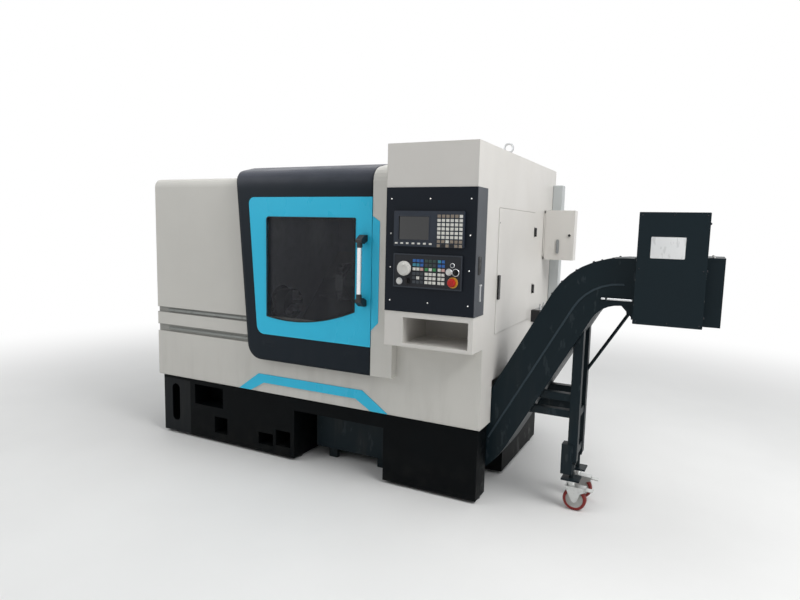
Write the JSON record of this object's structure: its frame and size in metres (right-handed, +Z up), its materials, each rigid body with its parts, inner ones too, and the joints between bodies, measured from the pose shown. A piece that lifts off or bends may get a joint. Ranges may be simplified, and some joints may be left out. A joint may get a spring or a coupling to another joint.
{
  "type": "cnc turning lathe",
  "caption": "Turning lathe in a sheet-metal enclosure with a sliding hooded door, side control cabinet and wheeled chip conveyor.",
  "frame": {"origin": "middle of the machine's footprint, conveyor included, on the floor", "axes": "+X to the right along the front of the machine, +Y to its back, +Z up"},
  "size_m": [3.49, 1.7, 1.9998],
  "materials": {
    "beige_paint": "satin paint",
    "light_paint": "satin paint",
    "charcoal_paint": "fine texture paint",
    "cyan_paint": "satin paint",
    "fascia_black": "fine texture paint",
    "conveyor_paint": "fine texture paint",
    "base_black": "matt paint",
    "grey_paint": "satin paint",
    "cast_iron": "painted and ground casting",
    "steel": "ground steel",
    "blackened_steel": "blackened",
    "smoked_glass": "tinted laminated pane",
    "black_plastic": "moulded",
    "white_plastic": "moulded",
    "red_plastic": "moulded",
    "red_rubber": "polyurethane tread"
  },
  "bodies": {
    "machine": {"base_frame": "base_black", "base_end_panel": "grey_paint", "coolant_tank": "base_black", "coolant_pump": "cyan_paint", "slant_bed": "cast_iron", "headstock": "cast_iron", "spindle_motor": "cast_iron", "work_area_liner": "grey_paint", "left_cover": "beige_paint", "front_frame": "beige_paint", "front_skirt": "beige_paint", "skirt_stripe": "cyan_paint", "door_pillar": "beige_paint", "pillar_stripe": "cyan_paint", "roof_cover": "beige_paint", "rear_cover": "beige_paint", "door_rail_lower": "steel", "door_rail_upper": "steel", "control_cabinet": "light_paint", "fascia_plate": "fascia_black", "cnc_unit": "fascia_black", "operator_panel": "fascia_black", "electrical_plate": "grey_paint", "side_box": "light_paint", "rear_duct": "grey_paint", "fluid_manifold": "grey_paint", "eye_bolt": "steel", "conveyor_body": "conveyor_paint", "conveyor_head": "conveyor_paint", "drive_guard": "conveyor_paint", "gear_motor": "grey_paint", "conveyor_stand": "conveyor_paint"},
    "door": {"door_shell": "charcoal_paint", "door_panel": "cyan_paint", "door_window": "smoked_glass", "door_handle": "steel"},
    "spindle": {"spindle": "steel", "chuck_body": "blackened_steel"},
    "jaw_1": {"chuck_jaw_1": "steel"},
    "jaw_2": {"chuck_jaw_2": "steel"},
    "jaw_3": {"chuck_jaw_3": "steel"},
    "carriage": {"carriage": "cast_iron"},
    "cross_slide": {"cross_slide": "cast_iron", "turret_housing": "cast_iron"},
    "turret": {"turret_disc": "steel"},
    "electrical_door": {"electrical_door": "light_paint"},
    "door_latch": {"door_latch": "black_plastic"},
    "side_box_lid": {"side_box_lid": "light_paint"},
    "handwheel": {"handwheel": "white_plastic"},
    "override_knob": {"override_knob": "black_plastic"},
    "mode_selector": {"mode_selector": "black_plastic"},
    "start_button": {"start_button": "white_plastic"},
    "stop_button": {"stop_button": "white_plastic"},
    "emergency_stop": {"emergency_stop": "red_plastic"},
    "caster_front": {"caster_fork_front": "steel"},
    "caster_front_wheel": {"caster_wheel_front": "red_rubber"},
    "caster_front_brake": {"brake_pedal_front": "steel"},
    "caster_back": {"caster_fork_back": "steel"},
    "caster_back_wheel": {"caster_wheel_back": "red_rubber"},
    "caster_back_brake": {"brake_pedal_back": "steel"}
  },
  "joints": [
    {"name": "door_slide", "type": "slide", "parent": "machine", "child": "door", "axis": [-1, 0, 0], "range_m": [0, 0.66]},
    {"name": "spindle_turn", "type": "hinge", "parent": "machine", "child": "spindle", "pos_m": [-1.745, -0.23005, 0.957], "axis": [1, 0, 0], "continuous": true},
    {"name": "jaw_1_slide", "type": "slide", "parent": "spindle", "child": "jaw_1", "axis": [0, 0, 1], "range_m": [-0.004, 0.004]},
    {"name": "jaw_2_slide", "type": "slide", "parent": "spindle", "child": "jaw_2", "axis": [0, -0.866, -0.5], "range_m": [-0.004, 0.004]},
    {"name": "jaw_3_slide", "type": "slide", "parent": "spindle", "child": "jaw_3", "axis": [0, 0.866, -0.5], "range_m": [-0.004, 0.004]},
    {"name": "carriage_slide", "type": "slide", "parent": "machine", "child": "carriage", "axis": [1, 0, 0], "range_m": [-0.24, 0.24]},
    {"name": "cross_slide_travel", "type": "slide", "parent": "carriage", "child": "cross_slide", "axis": [0, 0.7071, 0.7071], "range_m": [-0.05, 0.07]},
    {"name": "turret_index", "type": "hinge", "parent": "cross_slide", "child": "turret", "pos_m": [-0.505, -0.06388, 1.12317], "axis": [1, 0, 0], "continuous": true},
    {"name": "electrical_door_hinge", "type": "hinge", "parent": "machine", "child": "electrical_door", "pos_m": [0.6611, 0.30745, 0.93], "axis": [0, 0, 1], "range_deg": [0, 11]},
    {"name": "latch_turn", "type": "hinge", "parent": "electrical_door", "child": "door_latch", "pos_m": [0.6563, -0.43455, 1.188], "axis": [1, 0, 0], "range_deg": [0, 90]},
    {"name": "side_box_hinge", "type": "hinge", "parent": "machine", "child": "side_box_lid", "pos_m": [0.6586, 0.54045, 1.309], "axis": [0, 0, -1], "range_deg": [0, 80]},
    {"name": "handwheel_turn", "type": "hinge", "parent": "machine", "child": "handwheel", "pos_m": [0.271, -0.81195, 1.292], "axis": [0, 1, 0], "continuous": true},
    {"name": "override_turn", "type": "hinge", "parent": "machine", "child": "override_knob", "pos_m": [0.289, -0.81195, 1.227], "axis": [0, 1, 0], "range_deg": [-135, 135]},
    {"name": "mode_turn", "type": "hinge", "parent": "machine", "child": "mode_selector", "pos_m": [0.555, -0.81195, 1.283], "axis": [0, 1, 0], "range_deg": [0, 45]},
    {"name": "start_press", "type": "slide", "parent": "machine", "child": "start_button", "axis": [0, 1, 0], "range_m": [0, 0.004], "stiffness_N_per_m": 400},
    {"name": "stop_press", "type": "slide", "parent": "machine", "child": "stop_button", "axis": [0, 1, 0], "range_m": [0, 0.004], "stiffness_N_per_m": 400},
    {"name": "emergency_press", "type": "slide", "parent": "machine", "child": "emergency_stop", "axis": [0, 1, 0], "range_m": [0, 0.006]},
    {"name": "caster_front_swivel", "type": "hinge", "parent": "machine", "child": "caster_front", "pos_m": [1.1, -0.38805, 0.1697], "axis": [0, 0, 1], "continuous": true},
    {"name": "caster_front_roll", "type": "hinge", "parent": "caster_front", "child": "caster_front_wheel", "pos_m": [1.124, -0.38805, 0.0625], "axis": [0, 1, 0], "continuous": true},
    {"name": "caster_front_brake_press", "type": "hinge", "parent": "caster_front", "child": "caster_front_brake", "pos_m": [1.172, -0.38805, 0.123], "axis": [0, 1, 0], "range_deg": [0, 14]},
    {"name": "caster_back_swivel", "type": "hinge", "parent": "machine", "child": "caster_back", "pos_m": [1.1, -0.21205, 0.1697], "axis": [0, 0, 1], "continuous": true},
    {"name": "caster_back_roll", "type": "hinge", "parent": "caster_back", "child": "caster_back_wheel", "pos_m": [1.124, -0.21205, 0.0625], "axis": [0, 1, 0], "continuous": true},
    {"name": "caster_back_brake_press", "type": "hinge", "parent": "caster_back", "child": "caster_back_brake", "pos_m": [1.172, -0.21205, 0.123], "axis": [0, 1, 0], "range_deg": [0, 14]}
  ],
  "couplings": [
    {"joint": "jaw_2_slide", "follows": "jaw_1_slide", "ratio": 1},
    {"joint": "jaw_3_slide", "follows": "jaw_1_slide", "ratio": 1}
  ]
}
